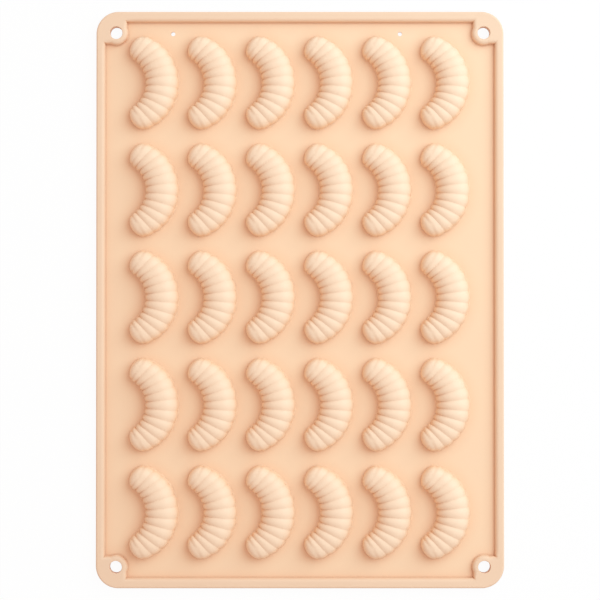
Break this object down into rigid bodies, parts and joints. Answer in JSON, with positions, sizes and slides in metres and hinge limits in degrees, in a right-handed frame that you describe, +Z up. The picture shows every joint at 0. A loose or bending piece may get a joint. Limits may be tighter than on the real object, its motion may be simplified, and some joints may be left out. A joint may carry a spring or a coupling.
{
  "type": "silicone crescent cake mould",
  "caption": "Flat flexible silicone baking mould with rows of ribbed crescent cups, a raised rounded rim and a hanging eyelet in each corner, stored open side down.",
  "frame": {"origin": "middle of the flat open face, which the mould rests on with its cups bulging up", "axes": "+X across the columns of cups, towards their bowed sides; +Y along the longest extent, towards the edge at the picture's top; +Z up, out of the cups' bulging side"},
  "size_m": [0.21, 0.297, 0.0115],
  "materials": {
    "silicone": "soft matt peach silicone with a faint sheen"
  },
  "bodies": {
    "root": {"base_sheet": "silicone", "rim_bottom": "silicone", "rim_right": "silicone", "rim_top": "silicone", "rim_left": "silicone", "eyelet_corner_bottom_left": "silicone", "eyelet_corner_bottom_right": "silicone", "eyelet_corner_top_right": "silicone", "eyelet_corner_top_left": "silicone", "crescent_cup_r1_c1": "silicone", "crescent_cup_r1_c2": "silicone", "crescent_cup_r1_c3": "silicone", "crescent_cup_r1_c4": "silicone", "crescent_cup_r1_c5": "silicone", "crescent_cup_r1_c6": "silicone", "crescent_cup_r2_c1": "silicone", "crescent_cup_r2_c2": "silicone", "crescent_cup_r2_c3": "silicone", "crescent_cup_r2_c4": "silicone", "crescent_cup_r2_c5": "silicone", "crescent_cup_r2_c6": "silicone", "crescent_cup_r3_c1": "silicone", "crescent_cup_r3_c2": "silicone", "crescent_cup_r3_c3": "silicone", "crescent_cup_r3_c4": "silicone", "crescent_cup_r3_c5": "silicone", "crescent_cup_r3_c6": "silicone", "crescent_cup_r4_c1": "silicone", "crescent_cup_r4_c2": "silicone", "crescent_cup_r4_c3": "silicone", "crescent_cup_r4_c4": "silicone", "crescent_cup_r4_c5": "silicone", "crescent_cup_r4_c6": "silicone", "crescent_cup_r5_c1": "silicone", "crescent_cup_r5_c2": "silicone", "crescent_cup_r5_c3": "silicone", "crescent_cup_r5_c4": "silicone", "crescent_cup_r5_c5": "silicone", "crescent_cup_r5_c6": "silicone"}
  },
  "joints": []
}
